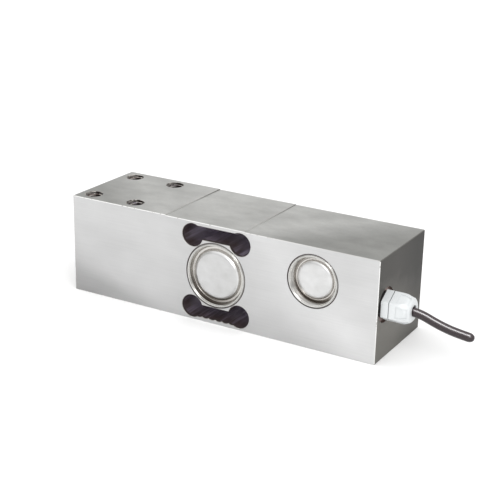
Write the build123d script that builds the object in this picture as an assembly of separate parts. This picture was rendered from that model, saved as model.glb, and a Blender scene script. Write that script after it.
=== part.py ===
from build123d import *
import os
from math import cos, radians, tan

# Single point load cell: a machined stainless block with two dumbbell slots that
# leave four thin flexures and a central sensing web. Strain gauges sit in two
# blind pockets on the web, sealed by formed stainless cups. A third pocket near
# the cable end holds the compensation board, and the cable enters through a
# polyamide gland in the end face.
#
# X runs along the block from the loading end to the cable end, -Y is the face
# with two cups, +Z is up. The origin is the middle of the bottom face.

# Block
block_length = 200.0
block_width = 60.0
block_height = 60.0
edge_break = 0.35
load_pad_length = 66.0
middle_pad_length = 52.5
load_pad_step = 0.35
base_pad_step = 0.25

# Dumbbell slots
bore_diameter = 13.6
bore_spacing = 31.0
flexure_thickness = 1.4
slot_wall = 2.2
slot_edge_break = 0.2
near = 0.01
web_margin = 0.3
chain_drill_count = 6

# Pockets on the sensing web
web_recess_diameter = 39.0
web_well_depth = 5.0
gauge_pocket_diameter = 32.0
shear_web_thickness = 4.0
web_hole_diameter = 3.0
web_hole_offset = 13.9

# Terminal pocket
terminal_from_end = 38.8
terminal_above_web = 9.9
terminal_recess_diameter = 31.2
terminal_well_depth = 6.0
terminal_pocket_diameter = 26.0
terminal_pocket_depth = 24.0

# Formed cups
cup_sheet = 0.4
cup_seat_depth = 0.5
cup_seat_width = 1.25
cup_side_gap = 0.8
cup_bead_radius = 0.5
web_cup_rim = 1.0
web_cup_wall_width = 0.8
web_cup_channel_width = 1.7
web_cup_channel_depth = 3.3
web_cup_shoulder_width = 1.3
web_cup_disc_depth = 1.1
web_cup_bends = [0.45, 0.8, 0.8, 1.8]
terminal_cup_rim = 0.95
terminal_cup_wall_width = 1.75
terminal_cup_channel_width = 1.0
terminal_cup_channel_depth = 4.2
terminal_cup_shoulder_width = 0.6
terminal_cup_disc_depth = 2.6
terminal_cup_bends = [0.4, 0.5, 0.5, 0.8]

# Tapped holes, modelled at the M10 core diameter
tapped_core_diameter = 8.5
tapped_mouth_diameter = 11.0
tapped_depth = 20.0
drill_point_angle = 118.0
hole_spacing_along = 30.0
hole_spacing_across = 42.0
hole_from_end = 9.0

# Cable entry in the end face
gland_from_front = 10.8
gland_above_web = 1.6
gland_recess_diameter = 20.0
gland_recess_depth = 1.6
gland_core_diameter = 10.5
gland_thread_depth = 12.5
passage_diameter = 5.0

# Gland
thread_clearance = 0.05
gland_hex = 15.5
hex_corner_radius = 0.8
washer_thickness = 2.0
washer_diameter = 15.0
washer_bore = 10.9
collar_length = 4.1
nut_gap = 0.5
neck_diameter = 12.0
neck_length = 4.6
claw_length = 4.4
claw_tip_diameter = 9.6
claw_count = 8
claw_slot = 0.9
claw_slot_start = 0.6
claw_shoulder = 0.6
nut_length = 11.0
nut_straight = 1.0
nut_tip_diameter = 10.2
nut_mouth_diameter = 6.2
nut_panel_start = 3.6
nut_panel_end = 9.8
nut_panel_base_width = 6.4
nut_panel_end_width = 5.0
nut_panel_depth = 0.45
nut_cone_relief = 0.8
nut_chamber_length = 1.1
nut_clearance = 0.35
seal_diameter = 8.4
seal_length = 8.6

# Cable
cable_diameter = 5.0
cable_clearance = 0.05
stem_bore_diameter = 5.6
jacket_start = 4.2
cable_reach = [jacket_start, 17.5, 30.0, 40.5, 50.0]
cable_drop = [0.0, 0.0, 4.6, 7.0, 7.9]
core_diameter = 1.0
core_offset = 0.95
core_turn = 2.6
core_stagger = 0.9
core_rise = 0.4
drain_diameter = 0.6
drain_turn = 7.0
wire_bend = 1.2

# Strain gauges and their terminals
gauge_length = 12.0
gauge_height = 9.0
gauge_film = 0.15
flat_part_corner = 0.4
grid_size = 4.0
grid_line = 0.3
grid_pitch = 0.6
grid_thickness = 0.05
grid_offset = 2.9
strip_from_centre = 10.0
strip_width = 4.0
strip_height = 8.0
strip_thickness = 0.6
joint_pitch = 2.6
joint_offset = 0.8
solder_radius = 0.8
lead_diameter = 1.4
lead_spread = 0.9
lead_bend = 3.0
lead_start = 11.0
lead_loop = 5.0

# Compensation board
board_diameter = 23.0
board_thickness = 1.6
spacer_length = 2.0
spacer_diameter = 3.6
screw_diameter = 2.0
screw_clearance = 0.02
screw_length = 7.6
screw_head_diameter = 3.8
screw_head_height = 1.2
screw_head_slot = 0.5
screw_hole_spare = 1.0
screw_spacing = 18.0
pin_diameter = 1.2
pin_length = 3.0
pin_collar_diameter = 1.8
pin_collar_height = 0.5
pin_column = 5.8
pin_pitch = 3.2
pin_count = 5
resistor_diameter = 2.2
resistor_length = 6.0
resistor_lead = 0.5
resistor_lead_reach = 0.8
resistor_lead_buried = 0.6
resistor_lead_bend = 0.5
resistor_spacing = 4.4
resistor_lift = 0.3
resistor_above_middle = 2.8
resistor_rounding = 0.37
sensor_width = 5.0
sensor_height = 4.0
sensor_thickness = 1.0
lead_landing_column = 5.0

# Places worked out from the sizes above
load_end = -block_length / 2
cable_end = block_length / 2
front = -block_width / 2
rear = block_width / 2
middle_top = block_height - load_pad_step
base_top = middle_top - base_pad_step
load_pad_end = load_end + load_pad_length
middle_pad_end = load_pad_end + middle_pad_length
web_height = web_recess_diameter + 2 * web_margin
web_centre = middle_top / 2
web_low = web_centre - web_height / 2
web_high = web_centre + web_height / 2
low_bore_centre = flexure_thickness + bore_diameter / 2
high_bore_centre = middle_top - flexure_thickness - bore_diameter / 2
slot_height = web_low - slot_wall
terminal_x = cable_end - terminal_from_end
terminal_z = web_centre + terminal_above_web
gland_y = front + gland_from_front
gland_z = web_centre + gland_above_web
collar_start = washer_thickness - gland_recess_depth
collar_end = collar_start + collar_length
nut_start = collar_end + nut_gap
board_back = front + terminal_pocket_depth - spacer_length
board_front = board_back - board_thickness

# Planes that face out of the block, with local Y up
front_plane = Plane(origin=(0, front, 0), x_dir=(1, 0, 0), z_dir=(0, -1, 0))
rear_plane = Plane(origin=(0, rear, 0), x_dir=(-1, 0, 0), z_dir=(0, 1, 0))
end_plane = Plane(origin=(cable_end, gland_y, gland_z), x_dir=(0, 1, 0), z_dir=(1, 0, 0))
top_plane = Plane(origin=(0, 0, block_height), x_dir=(1, 0, 0), z_dir=(0, 0, 1))
bottom_plane = Plane(origin=(0, 0, 0), x_dir=(1, 0, 0), z_dir=(0, 0, -1))
board_plane = Plane(origin=(terminal_x, board_front, terminal_z), x_dir=(1, 0, 0), z_dir=(0, -1, 0))


def disc_down(radius, depth):
    """A cylinder from z = 0 down to -depth."""
    return Cylinder(radius, depth, align=(Align.CENTER, Align.CENTER, Align.MAX))


def disc_up(radius, height, start=0.0):
    """A cylinder from z = start up by height."""
    return Pos(0, 0, start) * Cylinder(radius, height, align=(Align.CENTER, Align.CENTER, Align.MIN))


def wire_along(points, bends, radius):
    """A round wire along straight runs joined by tangent arcs, one bend radius for each corner."""
    path = FilletPolyline(*points, radius=bends)
    start = Plane(origin=path @ 0, z_dir=path % 0)
    return sweep(start * Circle(radius), path=path)


def block_section(height):
    """The block's cross-section in Y and Z, standing on the bottom face, with broken edges."""
    outline = Rectangle(block_width, height, align=(Align.CENTER, Align.MIN))
    return Plane.YZ * chamfer(outline.vertices(), edge_break)


def stepped_block():
    """The ground block: its top steps down twice, so only the loading end meets the platform."""
    load_part = Pos(load_end, 0, 0) * extrude(block_section(block_height), load_pad_length)
    middle_part = Pos(load_pad_end, 0, 0) * extrude(block_section(middle_top), middle_pad_length)
    base_part = Pos(middle_pad_end, 0, 0) * extrude(block_section(base_top), cable_end - middle_pad_end)
    block = load_part + middle_part + base_part
    ends = block.faces().sort_by(Axis.X)
    return chamfer(ends[0].edges() + ends[-1].edges(), edge_break)


def end_bores(bore_centre):
    """The two round ends of a slot, which thin the block to its flexures."""
    bore = Circle(bore_diameter / 2)
    return Pos(-bore_spacing / 2, bore_centre) * bore + Pos(bore_spacing / 2, bore_centre) * bore


def upper_slot():
    """The upper slot, milled with straight edges."""
    height = middle_top - slot_wall - web_high
    milled = Pos(0, web_high + height / 2) * Rectangle(bore_spacing, height)
    return end_bores(high_bore_centre) + milled


def lower_slot():
    """The lower slot, chain drilled: overlapping holes leave a scalloped outer edge."""
    drill_centre = slot_wall + slot_height / 2
    milled = Pos(0, (drill_centre + web_low) / 2) * Rectangle(bore_spacing, web_low - drill_centre)
    shape = end_bores(low_bore_centre) + milled
    pitch = bore_spacing / (chain_drill_count + 1)
    for number in range(1, chain_drill_count + 1):
        x = number * pitch - bore_spacing / 2
        shape += Pos(x, drill_centre) * Circle(slot_height / 2)
    return shape


def cut_slot(body, outline):
    """Cuts a slot through the whole width and breaks its edges on both side faces."""
    cutter = extrude(Plane.XZ * outline, block_width, both=True)
    low = cutter.bounding_box().min.Z - near
    high = cutter.bounding_box().max.Z + near
    body -= cutter
    rims = [edge for edge in body.edges()
            if abs(edge.center().Y) > rear - near and low < edge.center().Z < high]
    return chamfer(rims, slot_edge_break)


def cup_pocket(recess_diameter, well_depth, pocket_diameter, pocket_depth):
    """A stepped pocket: a shallow recess for the cup's rim, a well for its wall, then the pocket."""
    recess = disc_down(recess_diameter / 2, cup_seat_depth)
    well = disc_down(recess_diameter / 2 - cup_seat_width, well_depth)
    return recess + well + disc_down(pocket_diameter / 2, pocket_depth)


def tapped_hole():
    """A blind tapped hole from z = 0 down, with a countersunk mouth and a drill point."""
    radius = tapped_core_diameter / 2
    point = radius / tan(radians(drill_point_angle / 2))
    mouth = (tapped_mouth_diameter - tapped_core_diameter) / 2
    hole = disc_down(radius, tapped_depth)
    hole += Pos(0, 0, -mouth) * Cone(radius, tapped_mouth_diameter / 2, mouth,
                                     align=(Align.CENTER, Align.CENTER, Align.MIN))
    hole += Pos(0, 0, -tapped_depth) * Cone(0, radius, point, align=(Align.CENTER, Align.CENTER, Align.MAX))
    return hole


def hole_pattern(centre_x):
    """The centres of four holes about a point on the block's length."""
    half_along = hole_spacing_along / 2
    half_across = hole_spacing_across / 2
    return [(centre_x + a, b) for a in (-half_along, half_along) for b in (-half_across, half_across)]


def tapped_holes():
    """Four tapped holes in the top of the loading end and four in the bottom of the cable end."""
    reach = hole_from_end + hole_spacing_along / 2
    hole = tapped_hole()
    top = [top_plane * Pos(x, y, 0) * hole for x, y in hole_pattern(load_end + reach)]
    bottom = [bottom_plane * Pos(x, y, 0) * hole for x, y in hole_pattern(cable_end - reach)]
    return top + bottom


def cable_passage():
    """One line of bores from the end face: gland recess, thread, cable bore and lead passage."""
    terminal_reach = block_length / 2 - terminal_x
    web_reach = block_length / 2
    thread_end = gland_recess_depth + gland_thread_depth
    line = disc_down(gland_recess_diameter / 2, gland_recess_depth)
    line += disc_down(gland_core_diameter / 2, thread_end)
    line += disc_down(stem_bore_diameter / 2, terminal_reach)
    line += disc_down(passage_diameter / 2, web_reach)
    return end_plane * line


def screw_places():
    """The two board screws, above and below the middle of the terminal pocket."""
    return [(0, -screw_spacing / 2), (0, screw_spacing / 2)]


def screw_holes():
    """Blind holes for the board screws, in the floor of the terminal pocket."""
    reach = screw_length - board_thickness - spacer_length + screw_hole_spare
    floor = spacer_length + board_thickness
    hole = disc_down(screw_diameter / 2 + screw_clearance, reach + floor)
    return [board_plane * Pos(x, z, 0) * hole for x, z in screw_places()]


def spring_body():
    """The machined block, from one bar."""
    pocket_depth = (block_width - shear_web_thickness) / 2
    gauge_pocket = cup_pocket(web_recess_diameter, web_well_depth, gauge_pocket_diameter, pocket_depth)
    terminal_pocket = cup_pocket(terminal_recess_diameter, terminal_well_depth,
                                 terminal_pocket_diameter, terminal_pocket_depth)
    body = stepped_block()
    for outline in (upper_slot(), lower_slot()):
        body = cut_slot(body, outline)
    body -= front_plane * Pos(0, web_centre, 0) * gauge_pocket
    body -= rear_plane * Pos(0, web_centre, 0) * gauge_pocket
    body -= front_plane * Pos(terminal_x, terminal_z, 0) * terminal_pocket
    body -= cable_passage()
    web_hole = Rot(90, 0, 0) * Cylinder(web_hole_diameter / 2, 2 * shear_web_thickness)
    body -= Pos(web_hole_offset, 0, gland_z - lead_spread) * web_hole
    body -= tapped_holes()
    body -= screw_holes()
    return body


def formed_cup(recess_diameter, rim, wall_width, channel_width, channel_depth,
               shoulder_width, disc_depth, bends):
    """A cup drawn from sheet and revolved about z: a beaded flat rim, a channel and a flat disc."""
    radius = recess_diameter / 2 - cup_side_gap
    seat = cup_sheet / 2 - cup_seat_depth
    rim_radius = radius - rim
    channel_outside = rim_radius - wall_width
    channel_inside = channel_outside - channel_width
    disc_radius = channel_inside - shoulder_width
    middle_line = FilletPolyline(
        (radius, seat), (rim_radius, seat), (channel_outside, -channel_depth),
        (channel_inside, -channel_depth), (disc_radius, -disc_depth), (0, -disc_depth), radius=bends)
    section = make_face(offset(middle_line, cup_sheet / 2, side=Side.BOTH).edges())
    bead = Pos(radius - cup_bead_radius, 0, 0) * Circle(cup_bead_radius)
    return revolve(Plane.XZ * section, Axis.Z) + revolve(Plane.XZ * bead, Axis.Z)


def web_cup():
    """The cup over a gauge pocket: a round channel about a nearly level disc."""
    return formed_cup(web_recess_diameter, web_cup_rim, web_cup_wall_width, web_cup_channel_width,
                      web_cup_channel_depth, web_cup_shoulder_width, web_cup_disc_depth, web_cup_bends)


def terminal_cup():
    """The cup over the terminal pocket: a wide slope, a narrow channel and a deeper disc."""
    return formed_cup(terminal_recess_diameter, terminal_cup_rim, terminal_cup_wall_width,
                      terminal_cup_channel_width, terminal_cup_channel_depth,
                      terminal_cup_shoulder_width, terminal_cup_disc_depth, terminal_cup_bends)


def shear_gauge():
    """A foil gauge on a film: two grids of fine lines at plus and minus 45 degrees, face up."""
    gauge = extrude(RectangleRounded(gauge_length, gauge_height, flat_part_corner), gauge_film)
    lines = int(grid_size / grid_pitch)
    stroke = Rectangle(grid_size, grid_line)
    for side in (-1, 1):
        for number in range(lines):
            across = (number - (lines - 1) / 2) * grid_pitch
            line = Pos(side * grid_offset, 0, gauge_film) * Rot(0, 0, side * 45) * Pos(0, across) * stroke
            gauge += extrude(line, grid_thickness)
    return gauge


def terminal_strip():
    """A bonded solder strip with three solder joints."""
    strip = extrude(RectangleRounded(strip_width, strip_height, flat_part_corner), strip_thickness)
    for side in (-1, 0, 1):
        joint = Pos(-joint_offset, side * joint_pitch, strip_thickness) * Sphere(solder_radius)
        strip += joint & disc_up(strip_height, solder_radius, strip_thickness)
    return strip


def on_web(plane, part, x):
    """Puts a flat part on the floor of a gauge pocket, x along the block from the web's middle."""
    depth = (block_width - shear_web_thickness) / 2
    turned = x if plane is front_plane else -x
    return plane * Pos(turned, web_centre, -depth) * part


def front_gauge_leads():
    """The sleeved lead from the front gauge, along the passage to the board."""
    strip_top = -shear_web_thickness / 2 - strip_thickness
    z = gland_z + lead_spread
    landing = terminal_x - lead_landing_column
    points = [(lead_start, strip_top, z), (lead_start, gland_y, z),
              (landing, gland_y, z), (landing, board_front, z)]
    return wire_along(points, [lead_bend, lead_bend], lead_diameter / 2)


def rear_gauge_leads():
    """The sleeved lead from the rear gauge, through the web hole and along the passage."""
    strip_top = shear_web_thickness / 2 + strip_thickness
    z = gland_z - lead_spread
    landing = terminal_x - lead_landing_column
    loop = strip_top + lead_loop
    points = [(lead_start, strip_top, z), (lead_start, loop, z), (web_hole_offset, loop, z),
              (web_hole_offset, gland_y, z), (landing, gland_y, z), (landing, board_front, z)]
    return wire_along(points, [wire_bend, wire_bend, lead_bend, lead_bend], lead_diameter / 2)


def terminal_board():
    """The round compensation board, drilled for its screws."""
    board = disc_down(board_diameter / 2, board_thickness)
    for x, z in screw_places():
        board -= Pos(x, z, 0) * disc_down(screw_diameter / 2 + screw_clearance, board_thickness)
    return board_plane * board


def board_spacers():
    """Two tube spacers between the board and the pocket's floor."""
    ring = disc_down(spacer_diameter / 2, spacer_length)
    ring -= disc_down(screw_diameter / 2 + screw_clearance, spacer_length)
    places = screw_places()
    return Compound([board_plane * Pos(x, z, -board_thickness) * ring for x, z in places])


def board_screws():
    """Two M2 pan head screws through the board and its spacers."""
    head = disc_up(screw_head_diameter / 2, screw_head_height)
    head = fillet(head.edges().group_by(Axis.Z)[-1], screw_head_height / 3)
    slot = Pos(0, 0, screw_head_height) * Box(screw_head_diameter, screw_head_slot, screw_head_height)
    screw = head - slot + disc_down(screw_diameter / 2, screw_length)
    return Compound([board_plane * Pos(x, z, 0) * screw for x, z in screw_places()])


def pin_places():
    """The column of solder pins on the cable side of the board."""
    first = -pin_pitch * (pin_count - 1) / 2
    return [(pin_column, first + number * pin_pitch) for number in range(pin_count)]


def board_pins():
    """The solder pins, each with a collar."""
    pin = disc_up(pin_diameter / 2, pin_length) + disc_up(pin_collar_diameter / 2, pin_collar_height)
    return Compound([board_plane * Pos(x, z, 0) * pin for x, z in pin_places()])


def resistor(x):
    """An axial trim resistor on the board, lying upright along local y with bent leads."""
    height = resistor_diameter / 2 + resistor_lift
    body = Pos(x, 0, height) * Rot(90, 0, 0) * Cylinder(resistor_diameter / 2, resistor_length)
    body = fillet(body.edges(), resistor_rounding)
    for side in (-1, 1):
        start = side * (resistor_length / 2 - resistor_lead_buried)
        end = side * (resistor_length / 2 + resistor_lead_reach)
        points = [(x, start, height), (x, end, height), (x, end, 0)]
        body += wire_along(points, [resistor_lead_bend], resistor_lead / 2)
    return board_plane * Pos(0, resistor_above_middle, 0) * body


def temperature_resistor():
    """The flat nickel resistor that corrects for temperature."""
    chip = extrude(RectangleRounded(sensor_width, sensor_height, flat_part_corner), sensor_thickness)
    return board_plane * Pos(0, -screw_spacing / 4, 0) * chip


def cable_core(number):
    """One insulated core, from the jacket's inner end to its solder pin."""
    side, level = [(1, -1), (1, 1), (-1, -1), (-1, 1)][number]
    y = gland_y + side * core_offset
    z = gland_z + level * core_offset
    pin_x, pin_z = pin_places()[number]
    pin_x += terminal_x
    pin_z += terminal_z
    turn = pin_x + core_turn + core_stagger * number
    points = [(cable_end + jacket_start, y, z), (turn, y, z), (pin_x, y, pin_z - core_rise),
              (pin_x, board_front - pin_length, pin_z)]
    return wire_along(points, [wire_bend, wire_bend], core_diameter / 2)


def drain_wire():
    """The bare drain wire of the cable's screen, to the last pin."""
    pin_x, pin_z = pin_places()[-1]
    pin_x += terminal_x
    pin_z += terminal_z
    points = [(cable_end + jacket_start, gland_y, gland_z),
              (pin_x + drain_turn, gland_y, gland_z), (pin_x, gland_y, pin_z - core_rise),
              (pin_x, board_front - pin_length, pin_z)]
    return wire_along(points, [wire_bend, wire_bend], drain_diameter / 2)


def gland_washer():
    """The sealing washer under the gland's collar."""
    ring = disc_up(washer_diameter / 2, washer_thickness, -gland_recess_depth)
    ring -= disc_up(washer_bore / 2, washer_thickness, -gland_recess_depth)
    return end_plane * ring


def hexagon(inset=0.0):
    """The gland's hexagon with rounded corners, a flat to the front."""
    shape = RegularPolygon(gland_hex / 2 - inset, 6, major_radius=False, rotation=30)
    return fillet(shape.vertices(), hex_corner_radius)


def gland_body():
    """The threaded body: stem, hexagon collar, neck and slotted claw in one moulding."""
    stem_radius = gland_core_diameter / 2 - thread_clearance
    stem_start = -gland_recess_depth - gland_thread_depth
    neck_end = collar_end + neck_length
    body = disc_up(stem_radius, collar_start - stem_start, stem_start)
    body += Pos(0, 0, collar_start) * extrude(hexagon(), collar_length)
    body += disc_up(neck_diameter / 2 - 2 * thread_clearance, neck_length, collar_end)
    body += Pos(0, 0, neck_end) * Cone(neck_diameter / 2 - claw_shoulder, claw_tip_diameter / 2, claw_length,
                                       align=(Align.CENTER, Align.CENTER, Align.MIN))
    body -= disc_up(stem_bore_diameter / 2, collar_end - stem_start, stem_start)
    body -= disc_up(seal_diameter / 2 + cable_clearance, neck_length + claw_length, collar_end)
    slot = Pos(0, 0, neck_end + claw_slot_start) * Box(neck_diameter, claw_slot, claw_length,
                                                       align=(Align.MIN, Align.CENTER, Align.MIN))
    for number in range(claw_count):
        body -= Rot(0, 0, number * 360 / claw_count) * slot
    return end_plane * body


def gland_seal():
    """The rubber sleeve that the claw presses onto the cable."""
    sleeve = disc_up(seal_diameter / 2, seal_length, collar_end)
    sleeve -= disc_up(cable_diameter / 2 + cable_clearance, seal_length, collar_end)
    return end_plane * sleeve


def nut_form(inset=0.0):
    """The nut's outer form: a hexagon that fades into an elliptic dome with a flat tip."""
    corner = gland_hex / 2 / cos(radians(30)) - inset
    tip = nut_tip_diameter / 2 - inset
    dome = nut_length - nut_straight
    side = Line((0, 0), (corner, 0)) + Line((corner, 0), (corner, nut_straight))
    curve = EllipticalCenterArc((tip, nut_straight), corner - tip, dome, 0, arc_size=90)
    close = Line((tip, nut_length), (0, nut_length)) + Line((0, nut_length), (0, 0))
    dome_solid = revolve(Plane.XZ * make_face(side + curve + close), Axis.Z)
    return extrude(hexagon(inset), nut_length) & dome_solid


def nut_panel():
    """The window of one grip panel on the side of +x, narrower towards the tip."""
    base = nut_panel_base_width / 2
    end = nut_panel_end_width / 2
    outline = Polygon((-base, nut_panel_start), (base, nut_panel_start), (end, nut_panel_end),
                      (-end, nut_panel_end), align=None)
    return extrude(Plane.YZ * outline, gland_hex)


def gland_nut():
    """The dome nut, with a grip panel sunk in each of its six sides."""
    nut = nut_form()
    skin = nut - nut_form(nut_panel_depth)
    for number in range(6):
        nut -= skin & (Rot(0, 0, number * 60) * nut_panel())
    thread_length = collar_end + neck_length - nut_start
    nut -= disc_up(neck_diameter / 2, thread_length)
    cone_length = claw_length - nut_cone_relief
    chamber = claw_tip_diameter / 2 + nut_clearance
    nut -= Pos(0, 0, thread_length) * Cone(neck_diameter / 2, chamber, cone_length,
                                           align=(Align.CENTER, Align.CENTER, Align.MIN))
    nut -= disc_up(chamber, nut_chamber_length, thread_length + cone_length)
    nut -= disc_up(nut_mouth_diameter / 2, nut_length)
    return end_plane * Pos(0, 0, nut_start) * nut


# The cable's route: straight through the gland's seal, then a short stub that
# droops and levels out, as the photograph shows it.
cable_route = [(cable_end + reach, gland_y, gland_z - drop) for reach, drop in zip(cable_reach, cable_drop)]


def route_bends(points):
    """Each arc as large as its two runs allow."""
    vectors = [Vector(*b) - Vector(*a) for a, b in zip(points, points[1:])]
    bends = []
    for before, after in zip(vectors, vectors[1:]):
        half_turn = radians(before.get_angle(after) / 2)
        bends.append(0.45 * min(before.length, after.length) / tan(half_turn))
    return bends


def cable_jacket():
    """The round cable, plain, from inside the gland's seal to its free end."""
    return wire_along(cable_route, route_bends(cable_route), cable_diameter / 2)


parts = {
    "spring_body": spring_body(),
    "front_gauge_cup": front_plane * Pos(0, web_centre, 0) * web_cup(),
    "rear_gauge_cup": rear_plane * Pos(0, web_centre, 0) * web_cup(),
    "terminal_cup": front_plane * Pos(terminal_x, terminal_z, 0) * terminal_cup(),
    "front_shear_gauge": on_web(front_plane, shear_gauge(), 0),
    "rear_shear_gauge": on_web(rear_plane, shear_gauge(), 0),
    "front_gauge_terminals": on_web(front_plane, terminal_strip(), strip_from_centre),
    "rear_gauge_terminals": on_web(rear_plane, Rot(0, 0, 180) * terminal_strip(), strip_from_centre),
    "front_gauge_leads": front_gauge_leads(),
    "rear_gauge_leads": rear_gauge_leads(),
    "terminal_board": terminal_board(),
    "board_spacers": board_spacers(),
    "board_screws": board_screws(),
    "board_pins": board_pins(),
    "span_resistor": resistor(-resistor_spacing / 2),
    "zero_resistor": resistor(resistor_spacing / 2),
    "temperature_resistor": temperature_resistor(),
    "black_core": cable_core(0),
    "red_core": cable_core(1),
    "green_core": cable_core(2),
    "white_core": cable_core(3),
    "drain_wire": drain_wire(),
    "gland_washer": gland_washer(),
    "gland_body": gland_body(),
    "gland_seal": gland_seal(),
    "gland_nut": gland_nut(),
    "cable_jacket": cable_jacket(),
}

os.makedirs("parts", exist_ok=True)
for name, part in parts.items():
    export_step(part, f"parts/{name}.step")

print("cable bend radii", [round(bend, 1) for bend in route_bends(cable_route)])
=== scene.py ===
import math

import bpy
from mathutils import Matrix, Vector


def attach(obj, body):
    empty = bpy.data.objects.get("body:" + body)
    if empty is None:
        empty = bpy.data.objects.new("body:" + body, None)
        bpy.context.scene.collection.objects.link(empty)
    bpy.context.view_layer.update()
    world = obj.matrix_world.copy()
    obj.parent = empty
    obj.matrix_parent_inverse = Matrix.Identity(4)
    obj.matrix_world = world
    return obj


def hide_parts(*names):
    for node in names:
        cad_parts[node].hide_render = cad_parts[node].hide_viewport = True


# A single point load cell in stainless steel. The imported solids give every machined
# and moulded form. This script adds the cable's smooth line and the cut threads, and
# gives each solid the finish of the real material.

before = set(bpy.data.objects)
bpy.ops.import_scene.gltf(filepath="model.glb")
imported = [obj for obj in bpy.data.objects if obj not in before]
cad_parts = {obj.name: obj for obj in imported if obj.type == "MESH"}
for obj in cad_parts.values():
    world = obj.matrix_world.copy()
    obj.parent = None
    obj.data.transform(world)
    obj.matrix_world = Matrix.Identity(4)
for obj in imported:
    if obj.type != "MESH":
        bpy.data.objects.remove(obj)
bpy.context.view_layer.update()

# Camera, fitted to the block's corners in the photograph
LENS = 86.26
SENSOR = 36.0
YAW = math.radians(29.8038)
PITCH = math.radians(20.0821)
ROLL = math.radians(1.2228)
CAMERA_DISTANCE = 0.65846
CAMERA_TARGET = Vector((0.02214, -0.030, 0.04992))

# Sizes of the block that finishes and threads follow, in metres
BLOCK_HALF_LENGTH = 0.100
BLOCK_HALF_WIDTH = 0.030
BLOCK_HEIGHT = 0.060
EDGE_BREAK = 0.00035
END_SKIN = EDGE_BREAK / 5
MOUTH_DEPTH = 0.0013
GLAND_RECESS_START = 0.090
WEB_CENTRE = 0.029825
TERMINAL_X = 0.0612
TERMINAL_Z = 0.039725
MOUTH_RADIUS = 0.0055
THREAD_CORE_RADIUS = 0.00425
THREAD_PITCH = 0.0015
THREAD_DEPTH = 0.00042
THREAD_START = 0.0002
THREAD_ROOT = 0.0001
LOAD_HOLES_X = -0.076
BASE_HOLES_X = 0.076
HOLE_HALF_ALONG = 0.015
HOLE_HALF_ACROSS = 0.021

# Turns of a thread, steps in a turn, and half a ridge's width as a share of the pitch
THREAD_TURNS = 12
THREAD_STEPS = 28
THREAD_HALF_RIDGE = 0.45

# A small part's roughness goes from the first to the second of these times its mean
SMOOTHEST = 0.85
ROUGHEST = 1.15

# A face is square to an axis, or leans toward it, when its normal has more than this along it
SQUARE = 0.9
LEANING = 0.3

# Distances from the block's middle plane over which the tone of the inner walls changes: painted light deep
# in the slots, browner toward the faces, and painted shadow round the cups' seats
PAINTED_LIGHT_WALL = (0.010, 0.024)
BROWN_WALL = (0.016, 0.027)
CUP_SEAT_SHADOW = (0.0276, 0.0282)

# Painted shade on the ground faces: how it runs over the block, its colours along that run, and where the
# edges' painted glint fades
SIDE_RUN_RISE = 1.2
SIDE_RUN = (-0.10, 0.17)
SIDE_PAINTED_SHADE = [(0.0, "#D4D3D3"), (0.18, "#F1F1F1"), (0.36, "#EEEEEE"), (0.56, "#E7E7E7"),
              (0.66, "#F0F0F0"), (0.73, "#FAFAFA"), (0.81, "#F3F3F3"), (0.94, "#EDEDED")]
FOOT_RUN_START = 0.25
FOOT_RUN_ALONG = 4.0
FOOT_PAINTED_SHADE = [(0.06, "#E2E2E2"), (0.22, "#F4F4F4"), (0.54, "#F8F8F8"), (0.76, "#FFFFFF"),
              (0.98, "#FDFDFD")]
TOP_RUN_MIDDLE = -0.012
TOP_RUN_END = 0.12
TOP_PAINTED_SHADE = [(0.0, "#FAFAF9"), (0.29, "#ECECEB"), (0.46, "#F6F6F5"), (0.57, "#E6E6E5"),
             (0.76, "#C6C6C4"), (1.0, "#C4C4C2")]
PAINTED_GLINT_FADES = (-0.01, 0.08)

# The drawn cups: their discs, the way toward which their painted shade falls, the cosine from which it
# shows, and the distance from the axis that their colour stops reach. The stops brighten each disc's edge
# as a painted highlight, and the shaded stops darken it and the channel as painted shade
WEB_DISC_RADIUS = 0.0138
TERMINAL_DISC_RADIUS = 0.0103
DISC_ROLL_RADIUS = 0.005
ROLL_WIDTH = 0.0022
SHADE_FALLS_TOWARD = (-0.30, 0.0, -0.95)
SHADE_STARTS = 0.25
STOPS_REACH = 0.020
WEB_STOPS = [(0.66, "#CBCBCB"), (0.70, "#DCDCDC"), (0.75, "#D4D2CF"), (0.85, "#C2BFBB"),
             (0.89, "#C8C7C4")]
WEB_SHADED_STOPS = [(0.66, "#CBCBCB"), (0.71, "#544C47"), (0.76, "#8A837D"), (0.85, "#8E8A86"),
                   (0.89, "#C8C7C4")]
TERMINAL_STOPS = [(0.49, "#D6D6D6"), (0.53, "#E0E0E0"), (0.56, "#D4D2CF"), (0.61, "#C6C2BE"),
                  (0.69, "#C8C7C4")]
TERMINAL_SHADED_STOPS = [(0.50, "#D6D6D6"), (0.54, "#7A726C"), (0.58, "#B4AFAA"), (0.62, "#A09B96"),
                        (0.69, "#D0CFCD")]

# The cable's route, the same points as in the part's source
CABLE_Y = -0.0192
CABLE_ROUTE = [
    (0.1042, CABLE_Y, 0.031425),
    (0.1175, CABLE_Y, 0.031425),
    (0.1300, CABLE_Y, 0.026825),
    (0.1405, CABLE_Y, 0.024425),
    (0.1500, CABLE_Y, 0.023525),
]
CABLE_RADIUS = 0.0025
CABLE_SIDES = 40
CABLE_TIP_LENGTH = 0.0032
CABLE_TIP_NARROWING = 0.0019
CABLE_TIP_STEPS = 8

# Studio
FLOOR_HALF = 8.0
BLOCK_MIDDLE = (0.0, 0.0, 0.03)


def linear(channel):
    """One sRGB channel, 0 to 1, as linear light."""
    if channel <= 0.04045:
        return channel / 12.92
    return ((channel + 0.055) / 1.055) ** 2.4


def colour(code):
    """A hex sRGB colour as linear RGBA."""
    channels = [int(code[i:i + 2], 16) / 255 for i in (1, 3, 5)]
    return (*[linear(channel) for channel in channels], 1.0)


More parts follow.
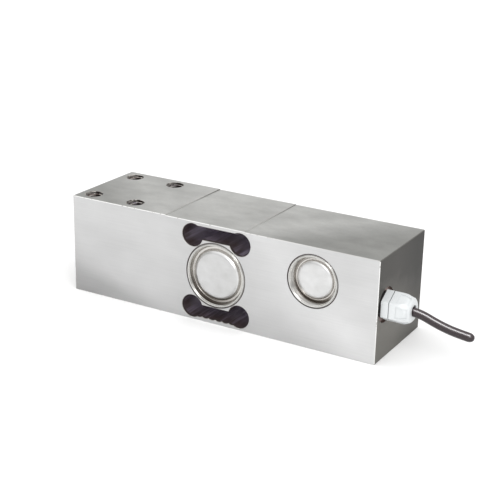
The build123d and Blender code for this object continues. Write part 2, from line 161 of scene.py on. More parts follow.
def add(tree, kind, inputs=None, stops=(), **settings):
    """Adds a node with its settings, sets or links its inputs, and gives a ramp its colours."""
    node = tree.nodes.new(kind)
    for name, value in settings.items():
        setattr(node, name, value)
    for name, value in (inputs or {}).items():
        if isinstance(value, bpy.types.Node):
            value = value.outputs[0]
        if isinstance(value, bpy.types.NodeSocket):
            tree.links.new(value, node.inputs[name])
        else:
            node.inputs[name].default_value = value
    for number, (place, code) in enumerate(stops):
        if number > 1:
            node.color_ramp.elements.new(place)
        node.color_ramp.elements[number].position = place
        node.color_ramp.elements[number].color = colour(code)
    return node


def start(name):
    """A new material, its empty tree, and the coordinates that its patterns follow."""
    made = bpy.data.materials.new(name)
    made.use_nodes = True
    made.node_tree.nodes.clear()
    return made, made.node_tree, add(made.node_tree, "ShaderNodeTexCoord").outputs


def ground_stainless():
    """Stainless bar, ground all round, with its ends sawn and faced on a mill. The sides have fine lines
    along the block, the top a duller grain, the ends a dark grey that is painted shade, the broken
    edges a bright tone that is partly a painted glint, and the walls of slots and holes a dark brown
    that is partly painted shade. The sides, top, ends and steps carry more painted shade over the block."""
    made, tree, coordinates = start("stainless_bar_ground")
    place = coordinates["Object"]
    spot = add(tree, "ShaderNodeSeparateXYZ", {0: place}).outputs
    facing = add(tree, "ShaderNodeSeparateXYZ", {0: coordinates["Normal"]}).outputs
    along, across, facing_x, facing_y, facing_z = [
        add(tree, "ShaderNodeMath", {0: value}, operation="ABSOLUTE")
        for value in (spot["X"], spot["Y"], facing["X"], facing["Y"], facing["Z"])]

    # Where each kind of surface is: the walls inside, the top and bottom, the ends, the broken edges
    within_length = add(tree, "ShaderNodeMath", {0: along, 1: BLOCK_HALF_LENGTH - EDGE_BREAK},
                        operation="LESS_THAN")
    within_width = add(tree, "ShaderNodeMath", {0: across, 1: BLOCK_HALF_WIDTH - EDGE_BREAK},
                       operation="LESS_THAN")
    below_top = add(tree, "ShaderNodeMath", {0: spot["Z"], 1: BLOCK_HEIGHT - MOUTH_DEPTH},
                    operation="LESS_THAN")
    above_base = add(tree, "ShaderNodeMath", {0: spot["Z"], 1: MOUTH_DEPTH}, operation="GREATER_THAN")
    within_plan = add(tree, "ShaderNodeMath", {0: within_length, 1: within_width}, operation="MULTIPLY")
    within_height = add(tree, "ShaderNodeMath", {0: below_top, 1: above_base}, operation="MULTIPLY")
    inside = add(tree, "ShaderNodeMath", {0: within_plan, 1: within_height}, operation="MULTIPLY")
    level = add(tree, "ShaderNodeMath", {0: facing_z, 1: SQUARE}, operation="GREATER_THAN")
    end = add(tree, "ShaderNodeMath", {0: along, 1: BLOCK_HALF_LENGTH - END_SKIN},
              operation="GREATER_THAN")
    squarest = add(tree, "ShaderNodeMath", {0: facing_x, 1: facing_y}, operation="MAXIMUM")
    squarest = add(tree, "ShaderNodeMath", {0: squarest, 1: facing_z}, operation="MAXIMUM")
    slanted = add(tree, "ShaderNodeMath", {0: squarest, 1: SQUARE}, operation="LESS_THAN")
    # A block edge is near two of the block's faces, and the rim of a slot or hole near only one. So
    # of the three tests, each 0 or 1, an edge passes one at most
    far_in = add(tree, "ShaderNodeMath", {0: within_length, 1: within_width}, operation="ADD")
    far_in = add(tree, "ShaderNodeMath", {0: far_in, 1: within_height}, operation="ADD")
    outer = add(tree, "ShaderNodeMath", {0: far_in, 1: 1.5}, operation="LESS_THAN")
    edge = add(tree, "ShaderNodeMath", {0: slanted, 1: outer}, operation="MULTIPLY")
    # The countersinks are slanted and far in from the sides, and a step of the top faces along it
    far_in_plan = add(tree, "ShaderNodeMath", {0: slanted, 1: within_plan}, operation="MULTIPLY")
    mouth = add(tree, "ShaderNodeMath", {0: inside, 1: far_in_plan}, operation="LESS_THAN")
    facing_along = add(tree, "ShaderNodeMath", {0: facing_x, 1: SQUARE}, operation="GREATER_THAN")
    along_in_plan = add(tree, "ShaderNodeMath", {0: facing_along, 1: within_plan}, operation="MULTIPLY")
    step = add(tree, "ShaderNodeMath", {0: inside, 1: along_in_plan}, operation="LESS_THAN")

    # Each pattern's stretch along the three axes, in waves a metre, its detail and its roughness
    patterns = {
        # Grinding lines 0.1 mm apart, drawn 0.8 mm apart so that they show, each some 40 mm long
        "lines": ((25, 700, 1250), 4.0, 0.6),
        # Grain of the fly-cut top, 0.1 mm in the real one, drawn at 0.7 mm and longer along the block
        "grain": ((500, 1400, 1400), 4.0, 0.7),
        # Slow change of tone over 30 to 60 mm, from one pass of the wheel to the next
        "passes": ((17, 30, 34), 2.0, 0.5),
        # Clouds of tone over 9 to 14 mm, where the wheel's and the cutter's paths cross
        "clouds": ((70, 110, 110), 3.0, 0.5),
        # Small nicks along the broken edges, about 2 mm apart
        "nicks": ((520, 520, 520), 2.0, 0.6),
        # Marks of the cutter across the block in the slots, 1 mm apart, drawn at 3 mm so that they show
        "marks": ((300, 14, 300), 3.0, 0.55),
    }
    noise = {}
    for pattern, (stretch, detail, roughness) in patterns.items():
        stretched = add(tree, "ShaderNodeMapping", {"Vector": place, "Scale": stretch})
        noise[pattern] = add(tree, "ShaderNodeTexNoise", {"Vector": stretched, "Scale": 1.0,
                                                          "Detail": detail, "Roughness": roughness})

    # The sides: lines, clouds and passes, and painted shade that makes them duller toward the foot
    # and toward the lower corner of the loading end
    side_tone = 0.225
    for pattern, share in (("lines", 0.30), ("clouds", 0.20), ("passes", 0.55)):
        side_tone = add(tree, "ShaderNodeMath", {0: noise[pattern], 1: share, 2: side_tone},
                        operation="MULTIPLY_ADD")
    side = add(tree, "ShaderNodeValToRGB", {0: side_tone}, stops=[(0.60, "#CCCCCC"), (0.90, "#DBDBDB")])
    side_shade_run = add(tree, "ShaderNodeMath", {0: spot["Z"], 1: SIDE_RUN_RISE, 2: spot["X"]},
                   operation="MULTIPLY_ADD")
    side_shade_run = add(tree, "ShaderNodeMapRange",
                   {"Value": side_shade_run, "From Min": SIDE_RUN[0], "From Max": SIDE_RUN[1]})
    foot_shade_run = add(tree, "ShaderNodeMath", {0: spot["Z"], 1: 1 / BLOCK_HEIGHT, 2: FOOT_RUN_START},
                   operation="MULTIPLY_ADD")
    foot_shade_run = add(tree, "ShaderNodeMath", {0: spot["X"], 1: FOOT_RUN_ALONG, 2: foot_shade_run},
                   operation="MULTIPLY_ADD")
    for run, stops in ((side_shade_run, SIDE_PAINTED_SHADE), (foot_shade_run, FOOT_PAINTED_SHADE)):
        shade = add(tree, "ShaderNodeValToRGB", {0: run}, stops=stops)
        side = add(tree, "ShaderNodeMix", {0: 1.0, 6: side, 7: shade},
                   data_type="RGBA", blend_type="MULTIPLY").outputs[2]

    # The top: grain, clouds and passes, and painted shade that makes it duller toward its two ends and its
    # front edge
    top_tone = 0.10
    for pattern, share in (("grain", 0.30), ("clouds", 0.50), ("passes", 0.50)):
        top_tone = add(tree, "ShaderNodeMath", {0: noise[pattern], 1: share, 2: top_tone},
                       operation="MULTIPLY_ADD")
    top = add(tree, "ShaderNodeValToRGB", {0: top_tone}, stops=[(0.58, "#BCBCBA"), (0.92, "#D9D9D7")])
    top_shade_run = add(tree, "ShaderNodeMath", {0: spot["X"], 1: TOP_RUN_MIDDLE}, operation="SUBTRACT")
    top_shade_run = add(tree, "ShaderNodeMath", {0: top_shade_run}, operation="ABSOLUTE")
    top_shade_run = add(tree, "ShaderNodeMath", {0: top_shade_run, 1: spot["Y"]}, operation="SUBTRACT")
    top_shade_run = add(tree, "ShaderNodeMapRange", {"Value": top_shade_run, "From Min": 0.0, "From Max": TOP_RUN_END})
    shade = add(tree, "ShaderNodeValToRGB", {0: top_shade_run}, stops=TOP_PAINTED_SHADE)
    top = add(tree, "ShaderNodeMix", {0: 1.0, 6: top, 7: shade},
              data_type="RGBA", blend_type="MULTIPLY").outputs[2]

    # The ends: a dark grey that is painted shade, with clouds, and painted lighter toward the foot and the
    # front
    end_shade_tone = 0.99
    for value, share in ((spot["Z"], -1.7 / BLOCK_HEIGHT), (spot["Y"], -6.0), (noise["clouds"], 0.55)):
        end_shade_tone = add(tree, "ShaderNodeMath", {0: value, 1: share, 2: end_shade_tone},
                       operation="MULTIPLY_ADD")
    end_painted_dark = add(tree, "ShaderNodeValToRGB", {0: end_shade_tone}, stops=[(0.0, "#42403D"), (0.92, "#74726D")])
    front_to_rear = add(tree, "ShaderNodeMapRange", {"Value": spot["Y"], "From Min": -BLOCK_HALF_WIDTH,
                                                     "From Max": BLOCK_HALF_WIDTH})
    shade = add(tree, "ShaderNodeValToRGB", {0: front_to_rear},
                stops=[(0.40, "#FFFFFF"), (0.85, "#C2C2C2")])
    end_painted_dark = add(tree, "ShaderNodeMix", {0: 1.0, 6: end_painted_dark, 7: shade},
                 data_type="RGBA", blend_type="MULTIPLY").outputs[2]

    # The walls inside: a dark brown that is partly painted shade, with the cutter's marks, whose pale
    # streaks are painted highlight; paler deep in the slots as painted light, browner toward the side
    # faces, evenly brown in the gland's recess, and dark round the cups' seats as painted shadow
    wall = add(tree, "ShaderNodeValToRGB", {0: noise["marks"]},
               stops=[(0.38, "#46393B"), (0.52, "#5C5156"), (0.62, "#92889A"), (0.72, "#CCC3D6")])
    painted_lit = add(tree, "ShaderNodeMapRange", {"Value": across, "From Min": PAINTED_LIGHT_WALL[0],
                                             "From Max": PAINTED_LIGHT_WALL[1], "To Min": 0.70, "To Max": 0.0})
    brown = add(tree, "ShaderNodeMapRange", {"Value": across, "From Min": BROWN_WALL[0],
                                             "From Max": BROWN_WALL[1], "To Min": 0.0, "To Max": 0.55})
    recess = add(tree, "ShaderNodeMath", {0: along, 1: GLAND_RECESS_START}, operation="GREATER_THAN")
    # Painted shadow in the gaps round the cups' seats
    seat_shadow = add(tree, "ShaderNodeMapRange",
               {"Value": across, "From Min": CUP_SEAT_SHADOW[0], "From Max": CUP_SEAT_SHADOW[1]})
    for where, code in ((painted_lit, "#BEB4C6"), (brown, "#4A3E3E"), (recess, "#86746F"), (seat_shadow, "#4A4242")):
        wall = add(tree, "ShaderNodeMix", {0: where, 6: wall, 7: colour(code)}, data_type="RGBA").outputs[2]

    # The broken edges: bright with small nicks, the brightness partly a painted glint. The painted glint of
    # the long upper ones fades toward the cable, and the ends' upper ones are painted dull as painted shade
    nicks_and_glint = add(tree, "ShaderNodeValToRGB", {0: noise["nicks"]},
                 stops=[(0.32, "#B4B2AE"), (0.40, "#EAEAE8")])
    toward_cable = add(tree, "ShaderNodeMapRange",
                       {"Value": spot["X"], "From Min": PAINTED_GLINT_FADES[0], "From Max": PAINTED_GLINT_FADES[1]})
    leans_up = add(tree, "ShaderNodeMath", {0: facing_z, 1: LEANING}, operation="GREATER_THAN")
    painted_glint_fading = add(tree, "ShaderNodeMath", {0: toward_cable, 1: leans_up}, operation="MULTIPLY")
    end_edge_painted_dark = add(tree, "ShaderNodeMath", {0: facing_x, 1: facing_z}, operation="MINIMUM")
    end_edge_painted_dark = add(tree, "ShaderNodeMath", {0: end_edge_painted_dark, 1: LEANING}, operation="GREATER_THAN")
    for where, code in ((painted_glint_fading, "#C4C4C2"), (end_edge_painted_dark, "#767571")):
        nicks_and_glint = add(tree, "ShaderNodeMix", {0: where, 6: nicks_and_glint, 7: colour(code)},
                     data_type="RGBA").outputs[2]

    # The countersinks are blotched with oil, and the steps of the top have painted shade, darker toward the
    # rear
    oiled = add(tree, "ShaderNodeValToRGB", {0: noise["nicks"]},
                stops=[(0.42, "#3E3833"), (0.60, "#C8C3BD")])
    step_painted_shade = add(tree, "ShaderNodeValToRGB", {0: front_to_rear},
                    stops=[(0.40, "#DEDEDC"), (0.95, "#5A5856")])
    skin = side
    for where, tone in ((level, top), (end, end_painted_dark), (slanted, colour("#A6A4A0")), (edge, nicks_and_glint),
                        (mouth, oiled), (step, step_painted_shade), (inside, wall)):
        skin = add(tree, "ShaderNodeMix", {0: where, 6: skin, 7: tone}, data_type="RGBA").outputs[2]

    # How matt each surface is, which on the sides follows the lines. Oil covers much of the metal inside
    rough = add(tree, "ShaderNodeMapRange", {"Value": noise["lines"], "From Min": 0.3, "From Max": 0.7,
                                             "To Min": 0.28, "To Max": 0.36})
    for where, value in ((level, 0.38), (end, 0.46), (slanted, 0.50), (edge, 0.30), (inside, 0.45)):
        rough = add(tree, "ShaderNodeMix", {0: where, 2: rough, 3: value})
    metal = add(tree, "ShaderNodeMapRange", {"Value": inside, "To Min": 1.0, "To Max": 0.35})
    lined = add(tree, "ShaderNodeBump", {"Height": noise["lines"], "Distance": 0.00002, "Strength": 0.5})
    grained = add(tree, "ShaderNodeBump", {"Height": noise["grain"], "Distance": 0.00001,
                                           "Strength": 0.5, "Normal": lined})
    shader = add(tree, "ShaderNodeBsdfPrincipled",
                 {"Base Color": skin, "Metallic": metal, "Roughness": rough, "Normal": grained})
    add(tree, "ShaderNodeOutputMaterial", {"Surface": shader})
    return made


def drawn_cup(name, centre_x, centre_z, disc_radius, stops, shaded_stops):
    """Stainless sheet drawn in a press about one axis: a satin disc that the tool only touched, with
    a painted highlight round its edge, a duller channel, painted shade on the lower side, and a rim
    burnished bright by the die. The stops are colours against the distance from the axis, and the
    shaded stops those on the side with painted shade."""
    made, tree, coordinates = start(name)
    place = coordinates["Object"]
    moved = add(tree, "ShaderNodeVectorMath", {0: place, 1: (centre_x, 0.0, centre_z)},
                operation="SUBTRACT")
    flat = add(tree, "ShaderNodeVectorMath", {0: moved, 1: (1, 0, 1)}, operation="MULTIPLY")
    radius = add(tree, "ShaderNodeVectorMath", {0: flat}, operation="LENGTH").outputs["Value"]
    reach = add(tree, "ShaderNodeMath", {0: radius, 1: STOPS_REACH}, operation="DIVIDE")
    zone = add(tree, "ShaderNodeValToRGB", {0: reach}, stops=stops)
    shaded_zone = add(tree, "ShaderNodeValToRGB", {0: reach}, stops=shaded_stops)
    # Painted shade: on the lower side the shaded stops take over
    down = add(tree, "ShaderNodeVectorMath", {0: moved, 1: SHADE_FALLS_TOWARD},
               operation="DOT_PRODUCT").outputs["Value"]
    down = add(tree, "ShaderNodeMath", {0: down, 1: radius}, operation="DIVIDE")
    down = add(tree, "ShaderNodeMapRange", {"Value": down, "From Min": SHADE_STARTS, "From Max": 1.0})
    zone = add(tree, "ShaderNodeMix", {0: down, 6: zone, 7: shaded_zone}, data_type="RGBA").outputs[2]
    # Smears of oil and rubbing, 5 to 10 mm long, and the sheet's own rolled grain of 0.3 mm
    smear_place = add(tree, "ShaderNodeMapping", {"Vector": place, "Scale": (120, 120, 190)})
    smear = add(tree, "ShaderNodeTexNoise",
                {"Vector": smear_place, "Scale": 1.0, "Detail": 3.0, "Roughness": 0.55})
    rolled_place = add(tree, "ShaderNodeMapping", {"Vector": place, "Scale": (600, 3000, 3000)})
    rolled = add(tree, "ShaderNodeTexNoise",
                 {"Vector": rolled_place, "Scale": 1.0, "Detail": 3.0, "Roughness": 0.6})
    smeared = add(tree, "ShaderNodeValToRGB", {0: smear}, stops=[(0.30, "#EFEFEE"), (0.70, "#FFFFFF")])
    base = add(tree, "ShaderNodeMix", {0: 1.0, 6: zone, 7: smeared},
               data_type="RGBA", blend_type="MULTIPLY").outputs[2]
    # Satin on the disc and burnished beyond it
    rough = add(tree, "ShaderNodeMapRange", {"Value": reach, "From Min": stops[1][0],
                                             "From Max": stops[2][0], "To Min": 0.31, "To Max": 0.17})
    # The disc rolls over toward its edge, so that its last 2 mm catch the light
    rolled_over = add(tree, "ShaderNodeMapRange",
                      {"Value": radius, "From Min": disc_radius - ROLL_WIDTH, "From Max": disc_radius,
                       "To Min": 0.0, "To Max": ROLL_WIDTH})
    drop = add(tree, "ShaderNodeMath", {0: rolled_over, 1: rolled_over}, operation="MULTIPLY")
    drop = add(tree, "ShaderNodeMath", {0: drop, 1: -0.5 / DISC_ROLL_RADIUS}, operation="MULTIPLY")
    rounded = add(tree, "ShaderNodeBump", {"Height": drop, "Distance": 1.0, "Strength": 1.0})
    grained = add(tree, "ShaderNodeBump",
                  {"Height": rolled, "Distance": 0.000006, "Strength": 0.4, "Normal": rounded})
    shader = add(tree, "ShaderNodeBsdfPrincipled",
                 {"Base Color": base, "Metallic": 1.0, "Roughness": rough, "Normal": grained})
    add(tree, "ShaderNodeOutputMaterial", {"Surface": shader})
    return made


def moulded(name, dark, light, roughness, grain_mm, depth_mm, ior, coat=0.0):
    """Plastic or rubber from a mould or an extruder: nearly even colour and a fine skin texture.
    The grain is the size of that texture, and the depth its height."""
    made, tree, coordinates = start(name)
    skin_place = add(tree, "ShaderNodeMapping",
                     {"Vector": coordinates["Object"], "Scale": [1000 / grain_mm] * 3})
    skin = add(tree, "ShaderNodeTexNoise",
               {"Vector": skin_place, "Scale": 1.0, "Detail": 3.0, "Roughness": 0.55})
    base = add(tree, "ShaderNodeValToRGB", {0: skin}, stops=[(0.30, dark), (0.70, light)])
    rough = add(tree, "ShaderNodeMapRange", {"Value": skin, "From Min": 0.25, "From Max": 0.75,
                                             "To Min": roughness * SMOOTHEST,
                                             "To Max": roughness * ROUGHEST})
    textured = add(tree, "ShaderNodeBump", {"Height": skin, "Distance": depth_mm / 1000, "Strength": 0.5})
    shader = add(tree, "ShaderNodeBsdfPrincipled",
                 {"Base Color": base, "Roughness": rough, "Normal": textured, "IOR": ior,
                  "Coat Weight": coat})
    add(tree, "ShaderNodeOutputMaterial", {"Surface": shader})
    return made


def turned_metal(name, dark, light, roughness, grain_mm, shaded_side=None):
    """Small bright metal parts, turned or drawn: an even tone with a faint grain. Where a shaded side
    colour is given, the walls that face away from the cable are painted in it as painted shade."""
    made, tree, coordinates = start(name)
    skin_place = add(tree, "ShaderNodeMapping",
                     {"Vector": coordinates["Object"], "Scale": [1000 / grain_mm] * 3})
    skin = add(tree, "ShaderNodeTexNoise",
               {"Vector": skin_place, "Scale": 1.0, "Detail": 4.0, "Roughness": 0.6})
    base = add(tree, "ShaderNodeValToRGB", {0: skin}, stops=[(0.30, dark), (0.70, light)])
    if shaded_side:
        # Painted shade on the walls that face away from the cable
        facing = add(tree, "ShaderNodeSeparateXYZ", {0: coordinates["Normal"]}).outputs
        painted_lit = add(tree, "ShaderNodeMapRange", {"Value": facing["X"], "From Min": 0.2, "From Max": 0.75})
        base = add(tree, "ShaderNodeMix", {0: painted_lit, 6: colour(shaded_side), 7: base}, data_type="RGBA").outputs[2]
    rough = add(tree, "ShaderNodeMapRange", {"Value": skin, "From Min": 0.25, "From Max": 0.75,
                                             "To Min": roughness * SMOOTHEST,
                                             "To Max": roughness * ROUGHEST})
    textured = add(tree, "ShaderNodeBump", {"Height": skin, "Distance": 0.000005, "Strength": 0.4})
    shader = add(tree, "ShaderNodeBsdfPrincipled",
                 {"Base Color": base, "Metallic": 1.0, "Roughness": rough, "Normal": textured})
    add(tree, "ShaderNodeOutputMaterial", {"Surface": shader})
    return made


stainless = ground_stainless()
web_cup_sheet = drawn_cup("stainless_sheet_drawn_web_cup", 0.0, WEB_CENTRE, WEB_DISC_RADIUS,
                          WEB_STOPS, WEB_SHADED_STOPS)
terminal_cup_sheet = drawn_cup("stainless_sheet_drawn_terminal_cup", TERMINAL_X, TERMINAL_Z,
                               TERMINAL_DISC_RADIUS, TERMINAL_STOPS, TERMINAL_SHADED_STOPS)
# Polyamide from the mould: light grey with a satin skin and soft highlights
polyamide = moulded("polyamide_moulded_light_grey", "#C7CACB", "#CFD2D3", 0.34, 0.5, 0.004, 1.53)
# Threads tapped in the bar: bright flanks on one side, and nearly black painted shade on the other
tapped_steel = turned_metal("stainless_thread_tapped", "#5E5A57", "#B0ACA8", 0.32, 0.4, "#1C1817")
# Nitrile rubber from the mould: matt black
nitrile = moulded("nitrile_rubber_moulded", "#151313", "#1E1B1B", 0.6, 0.4, 0.01, 1.52)
# Polyurethane sheath from the extruder: a smooth brown black with a narrow sheen
sheath = moulded("polyurethane_sheath_extruded", "#1A1315", "#231A1D", 0.26, 0.8, 0.002, 1.5)
# Finish of each solid: the tones, the roughness, the texture's grain and depth in millimetres, the
# index of refraction, and the weight of a clear coat
finishes = {
    "spring_body": stainless,
    "front_gauge_cup": web_cup_sheet,
    "rear_gauge_cup": web_cup_sheet,
    "terminal_cup": terminal_cup_sheet,
    "gland_body": polyamide,
    "gland_nut": polyamide,
    "gland_washer": nitrile,
    "gland_seal": nitrile,
    # Polyimide film over etched foil: glossy amber
    "front_shear_gauge": moulded("polyimide_film_with_foil", "#8F5415", "#A5651E", 0.25, 0.4, 0.003,
                                 1.7, 0.3),
    # Glass and epoxy laminate under its lacquer: satin dark green
    "terminal_board": moulded("glass_epoxy_laminate", "#184A2A", "#1F5A33", 0.35, 0.3, 0.005, 1.55, 0.2),
    # Dipped enamel: glossy tan
    "span_resistor": moulded("enamel_dipped", "#987A4E", "#A88A5C", 0.3, 0.5, 0.005, 1.5, 0.3),
    # Extruded sleeve: satin ivory
    "front_gauge_leads": moulded("sleeve_extruded_ivory", "#CEC8B8", "#DAD5C6", 0.4, 0.4, 0.005, 1.5),
    # Extruded insulation of the cores: satin, each in its own colour
    "black_core": moulded("core_insulation_black", "#141313", "#1B1A1A", 0.4, 0.4, 0.004, 1.5),
    "red_core": moulded("core_insulation_red", "#981A16", "#A81F1A", 0.4, 0.4, 0.004, 1.5),
    "green_core": moulded("core_insulation_green", "#1A6C2F", "#1F7A36", 0.4, 0.4, 0.004, 1.5),
    "white_core": moulded("core_insulation_white", "#D8D7D2", "#E2E1DC", 0.4, 0.4, 0.004, 1.5),
    # Tinned copper: bright, a little grey
    "board_pins": turned_metal("copper_tinned", "#BDBDB8", "#CFCFCB", 0.25, 0.3),
    # Turned stainless screws and spacers: bright with a faint grain
    "board_screws": turned_metal("stainless_screw_turned", "#B8B8B5", "#C8C8C6", 0.3, 0.3),
}
same_finish = {
    "rear_shear_gauge": "front_shear_gauge",
    "front_gauge_terminals": "terminal_board",
    "rear_gauge_terminals": "terminal_board",
    "zero_resistor": "span_resistor",
    "temperature_resistor": "span_resistor",
    "rear_gauge_leads": "front_gauge_leads",
    "drain_wire": "board_pins",
    "board_spacers": "board_screws",
}
for node, model in same_finish.items():
    finishes[node] = finishes[model]
for node, finish in finishes.items():
    for material_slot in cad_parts[node].material_slots:
        material_slot.material = finish


def mesh_piece(name, points, faces, finish, smooth=True):
    """A new mesh piece that rides on the body."""
    mesh = bpy.data.meshes.new(name)
    mesh.from_pydata(points, [], faces)
    mesh.materials.append(finish)
    for face in mesh.polygons:
        face.use_smooth = smooth
    made = bpy.data.objects.new(name, mesh)
    bpy.context.scene.collection.objects.link(made)
    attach(made, "root")
    return made


def spline_points(route):
    """Points read from one smooth spline through the route's control points."""
    curve = bpy.data.curves.new("cable_line", "CURVE")
    curve.dimensions = "3D"
    curve.resolution_u = 12
    spline = curve.splines.new("NURBS")
    spline.points.add(len(route) - 1)
    for point, place in zip(spline.points, route):
        point.co = (*place, 1.0)
    spline.order_u = 3
    spline.use_endpoint_u = True
    holder = bpy.data.objects.new("cable_line", curve)
    bpy.context.scene.collection.objects.link(holder)
    bpy.context.view_layer.update()
    line = bpy.data.meshes.new_from_object(holder)
    points = [vertex.co.copy() for vertex in line.vertices]
    bpy.data.objects.remove(holder)
    bpy.data.meshes.remove(line)
    return points


def ring(centre, along, radius):
    """A ring of points about the cable's line, which lies in an upright plane."""
    across = Vector((0, 1, 0))
    up = along.cross(across).normalized()
    turns = [2 * math.pi * i / CABLE_SIDES for i in range(CABLE_SIDES)]
    return [centre + radius * (math.cos(turn) * across + math.sin(turn) * up) for turn in turns]


def cable():
    """The round cable as one tube along the spline, its free end drawn in to a blunt round tip."""
    line = spline_points(CABLE_ROUTE)
    heading = (line[-1] - line[-2]).normalized()
    tip_start = line[-1] - heading * CABLE_TIP_LENGTH
    points = []
    rings = 0
    for number, point in enumerate(line):
        if (line[-1] - point).length <= CABLE_TIP_LENGTH:
            break
        before = line[max(number - 1, 0)]
        after = line[number + 1]
        points.extend(ring(point, (after - before).normalized(), CABLE_RADIUS))
        rings += 1
    for step in range(CABLE_TIP_STEPS + 1):
        turn = math.pi / 2 * step / CABLE_TIP_STEPS
        narrow = CABLE_RADIUS - CABLE_TIP_NARROWING * (1 - math.cos(turn))
        points.extend(ring(tip_start + heading * CABLE_TIP_LENGTH * math.sin(turn), heading, narrow))
        rings += 1
    faces = []
    for number in range(rings - 1):
        for side in range(CABLE_SIDES):
            first = number * CABLE_SIDES + side
            second = number * CABLE_SIDES + (side + 1) % CABLE_SIDES
            faces.append((first, second, second + CABLE_SIDES, first + CABLE_SIDES))
    faces.append(tuple(range(CABLE_SIDES)))
    faces.append(tuple(reversed(range((rings - 1) * CABLE_SIDES, rings * CABLE_SIDES))))
    made = mesh_piece("cable", points, faces, sheath)
    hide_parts("cable_jacket")


def cut_thread(name, mouth, inward):
    """A cut thread: a helical ridge on the wall of a tapped hole, from its countersink down."""
    total = THREAD_TURNS * THREAD_STEPS
    points = []
    for number in range(total + 1):
        turn = 2 * math.pi * number / THREAD_STEPS
        depth = THREAD_START + THREAD_PITCH * number / THREAD_STEPS
        # The ridge fades in over its first half turn and out over its last
        fade = min(1.0, number / (THREAD_STEPS / 2), (total - number) / (THREAD_STEPS / 2))
        for stand, offset in ((-THREAD_ROOT, -THREAD_HALF_RIDGE), (THREAD_DEPTH * fade, 0.0),
                              (-THREAD_ROOT, THREAD_HALF_RIDGE)):
            level = max(depth + offset * THREAD_PITCH, 0.0)
            # The wall is the countersink's cone near the mouth and the core below it
            wall = max(THREAD_CORE_RADIUS, MOUTH_RADIUS - level)
            radius = wall - stand
            points.append((mouth[0] + radius * math.cos(turn), mouth[1] + radius * math.sin(turn),
                           mouth[2] + inward * level))
    faces = []
    for number in range(total):
        first = 3 * number
        faces.append((first, first + 1, first + 4, first + 3))
        faces.append((first + 1, first + 2, first + 5, first + 4))
    made = mesh_piece(name, points, faces, tapped_steel, smooth=False)


cable()
corners = [(-1, -1), (-1, 1), (1, -1), (1, 1)]
for number, (side_x, side_y) in enumerate(corners, start=1):
    load_x = LOAD_HOLES_X + side_x * HOLE_HALF_ALONG
    base_x = BASE_HOLES_X + side_x * HOLE_HALF_ALONG
    hole_y = side_y * HOLE_HALF_ACROSS
    cut_thread(f"load_hole_thread_{number}", (load_x, hole_y, BLOCK_HEIGHT), -1)
    cut_thread(f"base_hole_thread_{number}", (base_x, hole_y, 0.0), 1)

# Camera
forward = Vector((-math.sin(YAW) * math.cos(PITCH), math.cos(YAW) * math.cos(PITCH),
                  -math.sin(PITCH)))
level_right = Vector((math.cos(YAW), math.sin(YAW), 0.0))
level_up = level_right.cross(forward)
right = math.cos(ROLL) * level_right + math.sin(ROLL) * level_up
up = -math.sin(ROLL) * level_right + math.cos(ROLL) * level_up
camera_data = bpy.data.cameras.new("camera")
camera_data.lens = LENS
camera_data.sensor_width = SENSOR
camera_data.clip_start = 0.01
camera_data.clip_end = 50.0
camera = bpy.data.objects.new("camera", camera_data)
turned = Matrix((right, up, -forward)).transposed().to_4x4()
camera.matrix_world = Matrix.Translation(CAMERA_TARGET - CAMERA_DISTANCE * forward) @ turned
bpy.context.scene.collection.objects.link(camera)
bpy.context.scene.camera = camera

# Floor: studio paper, white and matt, with faint clouds in its pulp 50 mm across
paper, paper_tree, paper_coordinates = start("paper_calendered_white")
pulp_place = add(paper_tree, "ShaderNodeMapping",
                 {"Vector": paper_coordinates["Object"], "Scale": (20, 20, 20)})
pulp = add(paper_tree, "ShaderNodeTexNoise", {"Vector": pulp_place, "Scale": 1.0, "Detail": 2.0})
paper_tone = add(paper_tree, "ShaderNodeValToRGB", {0: pulp}, stops=[(0.30, "#F6F6F6"), (0.70, "#F8F8F8")])
paper_shader = add(paper_tree, "ShaderNodeBsdfPrincipled", {"Base Color": paper_tone, "Roughness": 0.9})
add(paper_tree, "ShaderNodeOutputMaterial", {"Surface": paper_shader})
floor_mesh = bpy.data.meshes.new("floor")
floor_corners = [(FLOOR_HALF * x, FLOOR_HALF * y, 0) for x, y in ((-1, -1), (1, -1), (1, 1), (-1, 1))]
floor_mesh.from_pydata(floor_corners, [], [(0, 1, 2, 3)])
floor_mesh.materials.append(paper)
floor = bpy.data.objects.new("floor", floor_mesh)
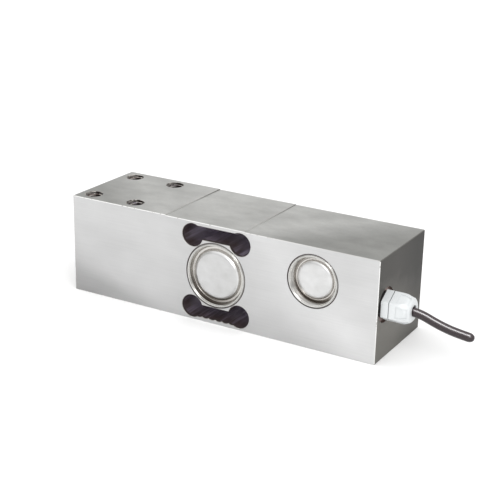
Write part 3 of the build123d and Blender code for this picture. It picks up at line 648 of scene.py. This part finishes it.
bpy.context.scene.collection.objects.link(floor)


def studio_light(name, kind, place, strength, target=BLOCK_MIDDLE, **shape):
    """A soft studio light aimed at the block, or at the target that is named."""
    data = bpy.data.lights.new(name, kind)
    data.energy = strength
    for setting, value in shape.items():
        setattr(data, setting, value)
    lamp = bpy.data.objects.new(name, data)
    lamp.location = place
    lamp.rotation_euler = (Vector(target) - Vector(place)).to_track_quat("-Z", "Y").to_euler()
    bpy.context.scene.collection.objects.link(lamp)
    return lamp


# Studio light: a wide silk overhead, a box at the right front and a small low one at the left, in a
# grey room that is lighter near the horizon
studio_light("overhead_silk", "SUN", (0.4, -0.6, 3.0), 2.1, angle=math.radians(120))
studio_light("front_box", "AREA", (0.54, -0.80, 0.74), 4.4, shape="RECTANGLE", size=0.60, size_y=0.45)
studio_light("left_box", "AREA", (-1.3, 0.15, 0.30), 1.1, shape="RECTANGLE", size=0.4, size_y=0.4)
# A box above the cable that lights the cable alone, for the sheen along it
cable_box = studio_light("cable_box", "AREA", (0.20, -0.37, 0.93), 18.0, CABLE_ROUTE[-1],
                         shape="RECTANGLE", size=0.60, size_y=0.42)
lit_alone = bpy.data.collections.new("lit_by_cable_box")
lit_alone.objects.link(bpy.data.objects["cable"])
cable_box.light_linking.receiver_collection = lit_alone
room = bpy.data.worlds.new("studio_room")
room.use_nodes = True
room_tree = room.node_tree
room_tree.nodes.clear()
toward = add(room_tree, "ShaderNodeTexCoord").outputs["Generated"]
height = add(room_tree, "ShaderNodeSeparateXYZ", {0: toward}).outputs["Z"]
wall_tone = add(room_tree, "ShaderNodeValToRGB", {0: height},
                stops=[(0.05, "#F4F4F4"), (0.38, "#ECECEB"), (0.60, "#B4B4B4"), (0.95, "#A0A0A0")])
room_light = add(room_tree, "ShaderNodeBackground", {"Color": wall_tone, "Strength": 1.02})
add(room_tree, "ShaderNodeOutputWorld", {"Surface": room_light})
bpy.context.scene.world = room
bpy.context.scene.view_settings.view_transform = "Standard"
bpy.context.scene.view_settings.look = "None"
